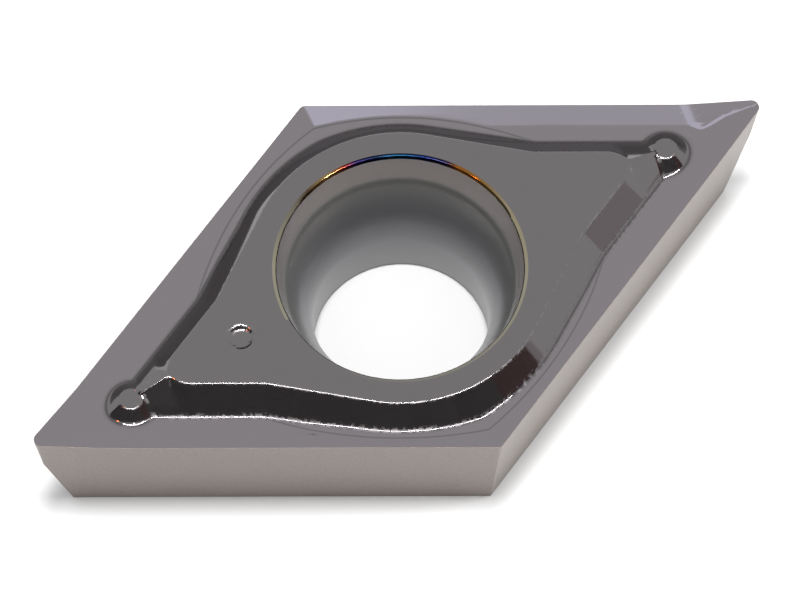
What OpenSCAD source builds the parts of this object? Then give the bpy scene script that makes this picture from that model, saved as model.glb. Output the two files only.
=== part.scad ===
// Indexable turning insert of 55 degree rhombic shape, one sintered and ground
// piece. The origin is on the hole's axis in the bottom seat face, +Z goes up
// and the long diagonal lies along X. All sizes are in millimetres and degrees.

/* [Insert size] */
// Diameter of the circle that touches all four cutting edges
inscribed_d = 9.525; // [8.5:0.005:12.7]
// Angle of the two acute noses, seen from above
nose_angle = 55; // [52:1:60]
// Height of the acute noses above the seat face
nose_h = 3.97; // [3.4:0.01:5]
// Relief angle of the four flanks
relief_angle = 7; // [5:0.5:8]
// Radius of the corners, seen from above
nose_r = 0.2; // [0.1:0.05:0.4]

/* [Cutting edges] */
// How far the middle of each edge lies below the noses
edge_drop = 0.18; // [0.08:0.01:0.25]
// Distance from the sharp corner at which an edge starts to rise to its nose
rise_start = 2.07; // [1.6:0.01:2.5]

/* [Chip groove] */
// Slope of the rake face beside the edge
rake_angle = 10; // [6:0.5:12]
// Width of that rake face
rake_w = 0.584; // [0.4:0.01:0.7]
// Slope of the groove's floor behind the rake face
floor_angle = 18; // [13:0.5:20]
// Slope of the rake face at the noses
nose_rake_angle = 19.2; // [16:0.1:22]
// Slope of the wall between the groove and the plateau
wall_angle = 47; // [42:1:55]
// Slope of the groove's floor round the boss
boss_floor_angle = 22.4; // [19:0.1:25]
// Width of the groove's floor round the boss
boss_floor_w = 0.235; // [0.15:0.005:0.3]

/* [Plateau] */
// Height of the plateau above the noses
plateau_rise = 0.25; // [0.2:0.01:0.35]
// Distance from the middle of an edge to the round boss of the plateau
boss_inset = 1.028; // [0.95:0.001:1.2]
// Distance from an edge to the plateau's horns
horn_inset = 1.58; // [1.5:0.01:1.7]
// Turn between an edge and the side that joins a horn to the boss
flare_turn = 10.6; // [9:0.1:13]
// Distance from the sharp corner to the tip of a horn
tip_inset = 3.931; // [3.8:0.001:4.1]
// Turn between the long diagonal and the normal of a tip's front flat
tip_turn = 23.5; // [15:0.5:30]
// Width that the bevel takes off the corner between that flat and the side
tip_bevel = 0.048; // [0.02:0.001:0.08]

/* [Nose ridge and bead] */
// Fall of the ridge's crest from the horn to the bead
crest_angle = 18; // [15:0.5:20]
// Side slope of the ridge beside its crest
ridge_side_angle = 31; // [28:1:35]
// Distance from the horn's tip to the start of the crest, along the crest
crest_start = 0.05; // [0:0.01:0.1]
// Distance from the sharp corner to the bead's axis
bead_inset = 2.864; // [2.8:0.001:2.93]
// Radius of the bead's flat top
bead_r = 0.27; // [0.23:0.01:0.31]
// Slope of the bead's side
bead_side_angle = 42; // [38:1:46]
// How far the bead's top lies below the noses
bead_drop = 0.07; // [0.03:0.01:0.12]

/* [Screw hole] */
// Radius of the straight throat
throat_r = 2.2; // [1.9:0.05:2.4]
// Length of the straight throat
throat_h = 1.3; // [0.8:0.1:1.6]
// Radius of the curved seat's profile, for the head of the screw
seat_arc_r = 3.24; // [3:0.02:4]
// Height of the curved seat
seat_h = 2.05; // [1.6:0.05:2.2]
// Widening of the wall between the seat and the lip
wall_flare = 0.12; // [0.05:0.01:0.16]
// Width of the rounded lip round the hole's mouth
lip_w = 0.11; // [0.08:0.01:0.15]
// Depth of that lip
lip_h = 0.1; // [0.06:0.01:0.16]

/* [Index mark] */
// Distance from a horn's tip to the centre of the round mark
mark_inset = 2.026; // [1.8:0.001:2.1]
// Offset of the mark from the long diagonal
mark_y = 0.105; // [0:0.005:0.15]
// Radius of the mark at the plateau
mark_r = 0.34; // [0.3:0.01:0.4]
// Radius of the mark's floor
mark_floor_r = 0.24; // [0.18:0.01:0.26]
// Depth of the mark
mark_depth = 0.1; // [0.05:0.01:0.15]

/* [Hidden] */

// Directions: the acute noses lie on the X axis, and one edge's outward
// normal makes this angle with X. The other three are its mirror images.
half_angle = nose_angle / 2;
edge_normal = 90 - half_angle;
flare_normal = edge_normal - flare_turn;

// Plan of the noses' plane, and the heights above the seat face
inner_r = inscribed_d / 2;
corner_x = inner_r / sin(half_angle);
corner_y = inner_r / cos(half_angle);
edge_h = nose_h - edge_drop;
plateau_h = nose_h + plateau_rise;
mid_edge_r = inner_r - edge_drop * tan(relief_angle);

// Plan of the plateau
boss_r = inner_r - boss_inset;
horn_r = inner_r - horn_inset;
tip_x = corner_x - tip_inset;

// Corner where a tip's front flat would meet the horn's straight side
tip_front_r = tip_x * cos(tip_turn);
tip_corner_y = (horn_r * cos(tip_turn) - tip_front_r * cos(edge_normal))
    / sin(edge_normal - tip_turn);
tip_corner_x = (tip_front_r * sin(edge_normal) - horn_r * sin(tip_turn))
    / sin(edge_normal - tip_turn);
bevel_normal = (edge_normal + tip_turn) / 2;
bevel_r = tip_corner_x * cos(bevel_normal) + tip_corner_y * sin(bevel_normal) - tip_bevel;

// Bead
bead_x = corner_x - bead_inset;

// Where an edge leaves its nose and where it starts to rise, measured along
// the edge from the point below the circle's contact
nose_tangent = nose_r / tan(half_angle);
edge_to_corner = inner_r / tan(half_angle);
rise_y = edge_to_corner - rise_start;

// Fall of a rake face from the middle of the edge to the floor behind it
bend_r = inner_r - rake_w;
bend_h = edge_h - (mid_edge_r - bend_r) * tan(rake_angle);

// Bore radii above the throat
seat_step = seat_arc_r - sqrt(seat_arc_r * seat_arc_r - seat_h * seat_h);
seat_end_r = throat_r + seat_step;
mouth_r = seat_end_r + wall_flare;

// Builds reach past the finished faces by this much before they are trimmed
spare = 1;
reach = 3 * inner_r;
arc_steps = 10;
round_sides = 144;
// The flared sides lie this far inside the boss's tangent, so that they cut
// through its cone and don't merely touch it
flare_sink = 0.015;
// A corner's cone stands this far out of the flanks, which then trim it, and is
// steeper than they are by this angle, so that they cut it in short arcs
corner_swell = 0.003;
corner_turn = 0.5;

function seat_point(k) =
    let (z = seat_h * k / arc_steps)
    [throat_r + seat_arc_r - sqrt(seat_arc_r * seat_arc_r - z * z), throat_h + z];

function lip_point(k) =
    let (a = 90 * k / arc_steps)
    [mouth_r + lip_w * (1 - cos(a)), plateau_h - lip_h * (1 - sin(a))];

// Places its child at all four edges. The child is drawn with X along the
// edge's outward normal and Y along the edge, towards its acute nose.
module at_four_edges() {
    for (flip_x = [0, 1])
        for (flip_y = [0, 1])
            mirror([flip_x, 0, 0])
                mirror([0, flip_y, 0])
                    rotate([0, 0, edge_normal])
                        mirror([0, 1, 0])
                            children();
}

// Places its child at both acute noses, drawn for the nose on +X
module at_two_noses() {
    for (flip_x = [0, 1])
        mirror([flip_x, 0, 0])
            children();
}

// Solid that is long in Y and has the given outline in X and Z
module long_bar(outline) {
    rotate([90, 0, 0])
        linear_extrude(height = 2 * reach, center = true)
            polygon(outline);
}

// Slab between two opposite walls whose normals lie at an angle to X. At the
// plateau the walls stand dist from the axis, and they slope outwards below it.
module walled_slab(angle, dist) {
    slope = tan(wall_angle);
    high = plateau_h + spare / 2;
    top = dist - (high - plateau_h) / slope;
    foot = dist + (plateau_h + spare) / slope;
    rotate([0, 0, angle])
        long_bar([[-foot, -spare], [foot, -spare], [top, high], [-top, high]]);
}

module walled_rhombus(normal, dist) {
    intersection() {
        walled_slab(normal, dist);
        walled_slab(-normal, dist);
    }
}

// Slab between two opposite leaning planes: they stand dist from the axis at
// the noses' height, and lean inwards below it by lean for each unit of depth
module leaning_slab(angle, dist, lean) {
    low = dist - (nose_h + spare) * lean;
    high = dist + spare * lean;
    top_z = nose_h + spare;
    rotate([0, 0, angle])
        long_bar([[-low, -spare], [low, -spare], [high, top_z], [-high, top_z]]);
}

// Two opposite rounded corners. The radius shrinks with the relief until the
// corner is sharp, so each is a cone, whose axis stands at axis_x.
module corner_cones(axis_x) {
    run = tan(relief_angle - corner_turn);
    low_z = nose_h - nose_r / run;
    for (side = [-1, 1])
        translate([side * axis_x, 0, low_z])
            cylinder(
                h = nose_h + spare - low_z,
                r1 = 0,
                r2 = nose_r + spare * run,
                $fn = round_sides
            );
}

// The four ground flanks with their rounded corners. The middle is cut off
// along the lines where the cones meet the flanks.
module flanks() {
    run = tan(relief_angle);
    touch_r = nose_r - corner_swell;
    acute_x = corner_x - touch_r / sin(half_angle);
    obtuse_y = corner_y - touch_r / cos(half_angle);
    intersection() {
        leaning_slab(edge_normal, inner_r, run);
        leaning_slab(-edge_normal, inner_r, run);
        union() {
            intersection() {
                leaning_slab(0, acute_x + touch_r * sin(half_angle), run * sin(half_angle));
                leaning_slab(90, obtuse_y + touch_r * cos(half_angle), run * cos(half_angle));
            }
            corner_cones(acute_x);
            rotate([0, 0, 90])
                corner_cones(obtuse_y);
        }
    }
}

// All that lies below the rake face and the groove's floor of one edge
module edge_rake() {
    outer = inner_r + spare;
    inner = horn_r - spare;
    long_bar([
        [inner, -spare],
        [outer, -spare],
        [outer, edge_h + (outer - mid_edge_r) * tan(rake_angle)],
        [bend_r, bend_h],
        [inner, bend_h - (bend_r - inner) * tan(floor_angle)]
    ]);
}

// All that lies below the rake face of one side of a nose, which rises with
// the edge
module nose_rake() {
    run = rise_start - nose_tangent;
    side_rise = (inner_r - mid_edge_r) * tan(nose_rake_angle);
    climb = (edge_drop - side_rise) / run;
    depth = nose_h - spare;
    translate([mid_edge_r, rise_y, edge_h])
        rotate([atan(climb * cos(nose_rake_angle)), -nose_rake_angle, 0])
            translate([-2 * spare, -2 * spare, -depth])
                cube([4 * spare, rise_start + 3 * spare, depth]);
}

// Groove round the boss, where the plateau leaves only a narrow rake face
module boss_groove() {
    outer_r = inner_r - boss_floor_w;
    outer_h = edge_h - (mid_edge_r - outer_r) * tan(rake_angle);
    slope = tan(boss_floor_angle);
    in_r = boss_r + boss_floor_w / 2;
    out_r = inner_r + spare;
    rotate_extrude($fn = round_sides)
        polygon([
            [in_r, outer_h - (outer_r - in_r) * slope],
            [out_r, outer_h + (out_r - outer_r) * slope],
            [out_r, plateau_h + 2 * spare],
            [in_r, plateau_h + 2 * spare]
        ]);
}

module chip_groove() {
    difference() {
        union() {
            at_four_edges() edge_rake();
            at_four_edges() nose_rake();
        }
        boss_groove();
    }
}

// Round middle of the plateau, round the hole
module boss() {
    slope = tan(wall_angle);
    high = plateau_h + spare / 2;
    translate([0, 0, -spare / 2])
        cylinder(
            h = high + spare / 2,
            r1 = boss_r + (plateau_h + spare / 2) / slope,
            r2 = boss_r - (high - plateau_h) / slope,
            $fn = round_sides
        );
}

// Sides that run from the boss out to the horns, on both noses
module flares() {
    far = 2 * corner_x;
    intersection() {
        walled_rhombus(flare_normal, boss_r - flare_sink);
        at_two_noses()
            translate([0, 0, -2 * spare])
                linear_extrude(height = plateau_h + 4 * spare)
                    polygon([
                        [0, 0],
                        [far * cos(flare_normal), -far * sin(flare_normal)],
                        [far * cos(flare_normal), far * sin(flare_normal)]
                    ]);
    }
}

// Ridge from the tip of a horn down to the bead: a roof whose crest lies on
// the long diagonal. It ends at the edge of the bead's top.
module ridge() {
    half_w = 2 * spare;
    drop = half_w * tan(ridge_side_angle) / cos(crest_angle);
    crest_x = tip_x + crest_start;
    front = bead_x - crest_x;
    length = front + 3 * spare;
    roof = [
        [0, 0],
        [-half_w, -drop],
        [-half_w, -plateau_h],
        [half_w, -plateau_h],
        [half_w, -drop]
    ];
    difference() {
        translate([crest_x, 0, plateau_h])
            rotate([0, crest_angle, 0])
                translate([front, 0, 0])
                    rotate([90, 0, -90])
                        linear_extrude(height = length)
                            polygon(roof);
        translate([bead_x, 0, -spare])
            cylinder(h = plateau_h + 2 * spare, r = bead_r, $fn = round_sides);
    }
}

// The horns: their straight walls run on from the plateau along the ridges
module horns() {
    intersection() {
        walled_rhombus(edge_normal, horn_r);
        union() {
            intersection() {
                walled_rhombus(tip_turn, tip_front_r);
                walled_rhombus(bevel_normal, bevel_r);
            }
            at_two_noses() ridge();
        }
    }
}

// Round bead at the foot of a ridge, which curls the chip of a light cut
module bead() {
    top_h = nose_h - bead_drop;
    translate([bead_x, 0, top_h - spare])
        cylinder(
            h = spare,
            r1 = bead_r + spare / tan(bead_side_angle),
            r2 = bead_r,
            $fn = round_sides
        );
}

// Screw hole: straight throat, curved seat for the screw's head, a slightly
// flared wall and a rounded lip at the plateau
module screw_hole() {
    rotate_extrude($fn = round_sides)
        polygon([
            [0, -spare],
            [throat_r, -spare],
            for (k = [0 : arc_steps]) seat_point(k),
            for (k = [0 : arc_steps]) lip_point(k),
            [mouth_r + lip_w, plateau_h + spare],
            [0, plateau_h + spare]
        ]);
}

// Shallow round mark that tells the two noses apart
module index_mark() {
    flare = (mark_r - mark_floor_r) / mark_depth;
    translate([-(tip_x - mark_inset), mark_y, plateau_h - mark_depth])
        cylinder(
            h = mark_depth + spare,
            r1 = mark_floor_r,
            r2 = mark_floor_r + (mark_depth + spare) * flare,
            $fn = round_sides
        );
}

module insert() {
    color([0.43, 0.42, 0.44])
        difference() {
            intersection() {
                flanks();
                translate([-reach, -reach, 0])
                    cube([2 * reach, 2 * reach, plateau_h]);
                union() {
                    chip_groove();
                    boss();
                    flares();
                    horns();
                    at_two_noses() bead();
                }
            }
            screw_hole();
            index_mark();
        }
}

insert();
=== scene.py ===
"""Visual model of a rhombic indexable carbide insert with ground chip grooves.

The whole insert is one sintered piece. Its top is a height field with real
fillets, and its flanks, underside and screw hole are rows of points that run
round it, so the mesh is one closed skin. Lengths of the insert and of its
finishes are in millimetres, and those of the studio are in metres where nothing
else is said.
"""

from __future__ import annotations

import logging
import math
from dataclasses import dataclass, field
from enum import Enum
from typing import Any, Callable

import bpy
import numpy as np
from mathutils import Matrix, Vector

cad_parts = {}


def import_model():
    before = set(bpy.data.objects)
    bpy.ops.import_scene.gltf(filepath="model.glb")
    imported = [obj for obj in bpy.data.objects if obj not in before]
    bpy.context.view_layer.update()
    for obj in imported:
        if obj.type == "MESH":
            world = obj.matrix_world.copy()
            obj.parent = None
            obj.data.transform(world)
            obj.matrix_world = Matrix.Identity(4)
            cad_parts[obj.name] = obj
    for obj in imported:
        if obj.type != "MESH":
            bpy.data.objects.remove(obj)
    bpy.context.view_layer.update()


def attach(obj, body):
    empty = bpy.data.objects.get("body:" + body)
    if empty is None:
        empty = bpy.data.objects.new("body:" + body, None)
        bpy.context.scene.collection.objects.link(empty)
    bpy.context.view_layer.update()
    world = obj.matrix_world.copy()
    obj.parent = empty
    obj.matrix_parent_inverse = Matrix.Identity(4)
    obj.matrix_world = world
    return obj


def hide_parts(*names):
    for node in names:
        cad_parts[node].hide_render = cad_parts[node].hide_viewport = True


LOG = logging.getLogger("insert")
METRES = 0.001
IMAGE_WIDTH = 800
# Numbers of the mix node's share and two colour inputs, and of its colour output
MIX_SHARE, MIX_FIRST, MIX_SECOND = 0, 6, 7
MIX_COLOUR = 2

Tree = bpy.types.NodeTree
Socket = bpy.types.NodeSocket
# Rows of points round the insert: places and unit normals of each row
Rows = list[tuple[np.ndarray, np.ndarray]]


class Zone(Enum):
    """Which finish a face of the insert has, as the mesh's material index."""

    TOP = 0
    FLANK = 1
    BORE = 2
    LIP = 3


def smooth_max(a: np.ndarray, b: np.ndarray | float, reach: float) -> np.ndarray:
    """Larger of two heights, with a fillet where they meet.

    Args:
        a: First height.
        b: Second height.
        reach: Difference of height within which the fillet acts.

    Returns:
        The blended height.
    """
    near = np.maximum(reach - np.abs(a - b), 0.0) / reach
    return np.maximum(a, b) + near * near * reach / 4


def smooth_min(a: np.ndarray, b: np.ndarray | float, reach: float) -> np.ndarray:
    """Smaller of two heights, with a rounded edge where they meet.

    Args:
        a: First height.
        b: Second height.
        reach: Difference of height within which the rounding acts.

    Returns:
        The blended height.
    """
    return -smooth_max(-a, -b, reach)


def smooth_abs(a: np.ndarray, reach: np.ndarray | float) -> np.ndarray:
    """Absolute value whose corner at zero is rounded within reach.

    Args:
        a: Signed values.
        reach: Distance from zero within which the rounding acts.

    Returns:
        The rounded absolute values.
    """
    size = np.abs(a)
    return np.where(size < reach, (size * size / reach + reach) / 2, size)


def unit(v: np.ndarray) -> np.ndarray:
    """Vectors along the last axis, brought to length 1."""
    return v / np.linalg.norm(v, axis=-1, keepdims=True)


def tangent(angle: float) -> float:
    """Tangent of an angle in degrees."""
    return math.tan(math.radians(angle))


def arc_rows(
    centre: np.ndarray, radius: float, first: np.ndarray, last: np.ndarray, count: int,
) -> Rows:
    """Rows of points on a rounding between two faces.

    Args:
        centre: Centre of the rounding at each station.
        radius: Its radius.
        first: Unit normals where it starts.
        last: Unit normals where it ends.
        count: Rows after its start, with the one at its end.

    Returns:
        Places and unit normals of each row.
    """
    angle = np.arccos(np.clip((first * last).sum(-1, keepdims=True), -1, 1))
    rows = []
    for k in range(1, count + 1):
        part = k / count
        normal = unit(np.sin((1 - part) * angle) * first + np.sin(part * angle) * last)
        rows.append((centre + radius * normal, normal))
    return rows


@dataclass(frozen=True)
class InsertSize:
    """Driving sizes of the insert and what follows from them, in mm and degrees."""

    # Outline and cutting edges
    inscribed_r: float = 9.525 / 2
    half_nose: float = 55 / 2
    nose_h: float = 3.97
    relief: float = 7.0
    nose_r: float = 0.2
    edge_drop: float = 0.18
    rise_start: float = 2.07
    # Ground faces as the solid has them, which set the foot of the wall
    rake: float = 10.0
    rake_w: float = 0.584
    floor: float = 18.0
    nose_rake: float = 19.2
    wall: float = 47.0
    # Plateau with its boss and horns
    plateau_rise: float = 0.25
    boss_inset: float = 1.028
    horn_inset: float = 1.58
    flare_turn: float = 10.6
    tip_inset: float = 3.931
    tip_turn: float = 23.5
    tip_bevel: float = 0.048
    # Ridges and beads
    crest: float = 18.0
    ridge_side: float = 31.0
    crest_start: float = 0.05
    bead_inset: float = 2.864
    bead_r: float = 0.27
    bead_side: float = 42.0
    bead_drop: float = 0.07
    # Screw hole
    throat_r: float = 2.2
    throat_h: float = 1.3
    seat_arc_r: float = 3.24
    seat_h: float = 2.05
    wall_flare: float = 0.12
    lip_w: float = 0.11
    lip_h: float = 0.1
    # Index mark
    mark_inset: float = 2.026
    mark_y: float = 0.105
    mark_r: float = 0.34
    mark_floor_r: float = 0.24
    mark_depth: float = 0.1

    @property
    def edge_normal(self) -> float:
        """Angle between X and the outward normal of an edge, in radians."""
        return math.radians(90 - self.half_nose)

    @property
    def corner_x(self) -> float:
        """Distance of the sharp acute corner from the axis."""
        return self.inscribed_r / math.sin(math.radians(self.half_nose))

    @property
    def edge_h(self) -> float:
        """Height of the middle of an edge."""
        return self.nose_h - self.edge_drop

    @property
    def plateau_h(self) -> float:
        """Height of the plateau."""
        return self.nose_h + self.plateau_rise

    @property
    def mid_edge_r(self) -> float:
        """Distance of the middle of an edge from the axis."""
        return self.inscribed_r - self.edge_drop * tangent(self.relief)

    @property
    def boss_r(self) -> float:
        """Radius of the plateau's round middle."""
        return self.inscribed_r - self.boss_inset

    @property
    def horn_r(self) -> float:
        """Distance of the horns' straight sides from the axis."""
        return self.inscribed_r - self.horn_inset

    @property
    def tip_x(self) -> float:
        """Distance of a horn's tip from the axis."""
        return self.corner_x - self.tip_inset

    @property
    def bead_x(self) -> float:
        """Distance of a bead's axis from the axis of the hole."""
        return self.corner_x - self.bead_inset

    @property
    def bead_h(self) -> float:
        """Height of the beads."""
        return self.nose_h - self.bead_drop

    @property
    def seat_end_r(self) -> float:
        """Radius at the upper end of the hole's curved seat."""
        arc = self.seat_arc_r
        return self.throat_r + arc - math.sqrt(arc * arc - self.seat_h**2)

    @property
    def mouth_r(self) -> float:
        """Radius of the hole's wall where its rounded lip starts."""
        return self.seat_end_r + self.wall_flare

    @property
    def lip_r(self) -> float:
        """Radius at which the hole's lip reaches the plateau."""
        return self.mouth_r + self.lip_w


@dataclass(frozen=True)
class TopSurface:
    """Height field of the insert's top, from the lip of the hole to the edges."""

    size: InsertSize
    # Slopes of the ground faces as they show, and the curved line between them
    seen_rake: float = 16.85
    seen_floor: float = 8.0
    bow_inset: float = 0.33
    bow_r: float = 9.0
    # Half width of the crest's rounding
    crest_reach: float = 0.012
    # Differences of height within which the small fillets act
    rim_reach: float = 0.04
    foot_reach: float = 0.12
    crease_reach: float = 0.02
    mark_reach: float = 0.06
    bead_reach: float = 0.03
    # Blends of the ground faces over the two diagonals, and how the one over the
    # long diagonal narrows towards a nose
    middle_reach: float = 0.06
    valley_w: float = 0.22
    valley_fade: float = 0.9
    valley_least: float = 0.15
    # Steepness of a ridge's end at its bead, and spans that give slopes and bends
    stop_slope: float = 4.0
    step: float = 0.0008
    bend_span: float = 0.02

    @property
    def foot(self) -> tuple[float, float]:
        """Line where a horn's straight wall meets the groove's floor.

        Returns:
            Distance from the axis, and height.
        """
        s = self.size
        bend_r = s.inscribed_r - s.rake_w
        bend_h = s.edge_h - (s.mid_edge_r - bend_r) * tangent(s.rake)
        wall, floor = tangent(s.wall), tangent(s.floor)
        foot_r = (s.plateau_h + s.horn_r * wall - bend_h + bend_r * floor) / (wall + floor)
        return foot_r, bend_h + (foot_r - bend_r) * floor

    def edge_frame(self, x: np.ndarray, y: np.ndarray) -> tuple[np.ndarray, np.ndarray]:
        """Distances across and along the nearest edge.

        Args:
            x: Places along the long diagonal.
            y: Places along the short diagonal.

        Returns:
            Distance from the axis at right angles to the edge, and along the edge.
        """
        s = self.size
        cos_e, sin_e = math.cos(s.edge_normal), math.sin(s.edge_normal)
        to_nose = s.corner_x - s.nose_r - np.abs(x)
        fade = np.clip(to_nose / self.valley_fade, self.valley_least, 1)
        ax = smooth_abs(x, self.middle_reach)
        ay = smooth_abs(y, self.valley_w * fade)
        return ax * cos_e + ay * sin_e, ax * sin_e - ay * cos_e

    def bow(self, t: np.ndarray) -> np.ndarray:
        """Distance from the axis of the curved line where the rake ends."""
        return self.size.inscribed_r - self.bow_inset - t * t / (2 * self.bow_r)

    def rakes(self, x: np.ndarray, y: np.ndarray) -> np.ndarray:
        """Height of the rake faces and the groove's floor.

        Args:
            x: Places along the long diagonal.
            y: Places along the short diagonal.

        Returns:
            The heights.
        """
        s = self.size
        n, t = self.edge_frame(x, y)
        rake = s.edge_h + (n - s.mid_edge_r) * tangent(self.seen_rake)
        bow = self.bow(t)
        bow_h = s.edge_h + (bow - s.mid_edge_r) * tangent(self.seen_rake)
        foot_r, foot_h = self.foot
        floor = foot_h + (n - foot_r) * tangent(self.seen_floor)
        floor = np.maximum(floor, bow_h + (n - bow) * tangent(self.seen_floor))
        side = smooth_max(rake, floor, self.crease_reach)
        nose_tangent = s.nose_r / tangent(s.half_nose)
        side_rise = (s.inscribed_r - s.mid_edge_r) * tangent(s.nose_rake)
        climb = (s.edge_drop - side_rise) / (s.rise_start - nose_tangent)
        rise_y = s.inscribed_r / tangent(s.half_nose) - s.rise_start
        nose = s.edge_h + (n - s.mid_edge_r) * tangent(s.nose_rake) + climb * (t - rise_y)
        return smooth_max(side, nose, self.crease_reach)

    def wall(self, ax: np.ndarray, ay: np.ndarray, dist: float, angle: float) -> np.ndarray:
        """Height of a straight wall of the plateau.

        Args:
            ax: Distances from the short diagonal.
            ay: Distances from the long diagonal.
            dist: Distance from the axis at which the wall reaches the plateau.
            angle: Direction of its normal from X, in radians.

        Returns:
            The heights.
        """
        inside = dist - ax * math.cos(angle) - ay * math.sin(angle)
        return self.size.plateau_h + inside * tangent(self.size.wall)

    def ridge(self, ax: np.ndarray, ay: np.ndarray) -> np.ndarray:
        """Height of the sharp ridge from a horn's tip down to its bead.

        Args:
            ax: Distances from the short diagonal.
            ay: Distances from the long diagonal.

        Returns:
            The heights.
        """
        s = self.size
        run = ax - s.tip_x - s.crest_start
        side = tangent(s.ridge_side) / math.cos(math.radians(s.crest)) ** 2
        ridge = s.plateau_h - run * tangent(s.crest) - smooth_abs(ay, self.crest_reach) * side
        from_bead = np.hypot(ax - s.bead_x, ay)
        stop = np.where(ax < s.bead_x, from_bead - s.bead_r, s.bead_x - ax - s.bead_r)
        return smooth_min(ridge, s.bead_h + stop * self.stop_slope, self.crease_reach)

    def horn(self, ax: np.ndarray, ay: np.ndarray) -> np.ndarray:
        """Height of a horn with its blunt tip and its ridge.

        Args:
            ax: Distances from the short diagonal.
            ay: Distances from the long diagonal.

        Returns:
            The heights.
        """
        s = self.size
        front = math.radians(s.tip_turn)
        front_r = s.tip_x * math.cos(front)
        span = math.sin(s.edge_normal - front)
        corner_x = (front_r * math.sin(s.edge_normal) - s.horn_r * math.sin(front)) / span
        corner_y = (s.horn_r * math.cos(front) - front_r * math.cos(s.edge_normal)) / span
        bevel = (s.edge_normal + front) / 2
        bevel_r = corner_x * math.cos(bevel) + corner_y * math.sin(bevel) - s.tip_bevel
        blunt = self.wall(ax, ay, bevel_r, bevel)
        tip = smooth_min(self.wall(ax, ay, front_r, front), blunt, self.rim_reach)
        tip = smooth_max(tip, self.ridge(ax, ay), self.rim_reach)
        return smooth_min(self.wall(ax, ay, s.horn_r, s.edge_normal), tip, self.rim_reach)

    def mark(self, x: np.ndarray, y: np.ndarray) -> np.ndarray:
        """Height of the plateau's level with the index mark sunk in it.

        Args:
            x: Places along the long diagonal.
            y: Places along the short diagonal.

        Returns:
            The heights.
        """
        s = self.size
        mark_x = s.mark_inset - s.tip_x
        from_mark = np.hypot(x - mark_x, y - s.mark_y)
        floor_h = s.plateau_h - s.mark_depth
        slope = s.mark_depth / (s.mark_r - s.mark_floor_r)
        bowl = floor_h + (from_mark - s.mark_floor_r) * slope
        bowl = smooth_max(bowl, floor_h, self.mark_reach)
        return smooth_min(bowl, s.plateau_h, self.mark_reach)

    def plateau(self, x: np.ndarray, y: np.ndarray) -> np.ndarray:
        """Height of the plateau with its walls, horns, ridges and index mark.

        Args:
            x: Places along the long diagonal.
            y: Places along the short diagonal.

        Returns:
            The heights, which fall away outside the walls.
        """
        s = self.size
        ax, ay = np.abs(x), np.abs(y)
        flare = s.edge_normal - math.radians(s.flare_turn)
        turn = np.maximum(flare - np.arctan2(ay, ax), 0)
        boss = s.plateau_h + (s.boss_r - np.hypot(x, y) * np.cos(turn)) * tangent(s.wall)
        top = smooth_max(boss, self.horn(ax, ay), self.crease_reach)
        return smooth_min(self.mark(x, y), top, self.rim_reach)

    def bead(self, x: np.ndarray, y: np.ndarray) -> np.ndarray:
        """Height of the round beads at the feet of the ridges.

        Args:
            x: Places along the long diagonal.
            y: Places along the short diagonal.

        Returns:
            The heights, which fall away outside the beads.
        """
        s = self.size
        from_axis = np.hypot(np.abs(x) - s.bead_x, y)
        side = s.bead_h + (s.bead_r - from_axis) * tangent(s.bead_side)
        return smooth_min(side, s.bead_h, self.bead_reach)

    def height(self, x: np.ndarray, y: np.ndarray) -> np.ndarray:
        """Height of the whole top.

        Args:
            x: Places along the long diagonal.
            y: Places along the short diagonal.

        Returns:
            The heights above the seat face.
        """
        raised = smooth_max(self.rakes(x, y), self.plateau(x, y), self.foot_reach)
        return smooth_max(raised, self.bead(x, y), self.foot_reach)

    def normal(self, x: np.ndarray, y: np.ndarray) -> np.ndarray:
        """Unit normals of the top.

        Args:
            x: Places along the long diagonal.
            y: Places along the short diagonal.

        Returns:
            One normal for each place.
        """
        d = self.step
        slope_x = (self.height(x + d, y) - self.height(x - d, y)) / (2 * d)
        slope_y = (self.height(x, y + d) - self.height(x, y - d)) / (2 * d)
        return unit(np.stack([-slope_x, -slope_y, np.ones_like(slope_x)], -1))

    def bend(self, x: np.ndarray, y: np.ndarray) -> np.ndarray:
        """Curvature of the top: positive in hollows and negative on rims.

        Args:
            x: Places along the long diagonal.
            y: Places along the short diagonal.

        Returns:
            The curvature, one over the radius in mm.
        """
        span = self.bend_span
        total = -4 * self.height(x, y)
        for dx, dy in ((span, 0), (-span, 0), (0, span), (0, -span)):
            total = total + self.height(x + dx, y + dy)
        return total / span**2


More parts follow.
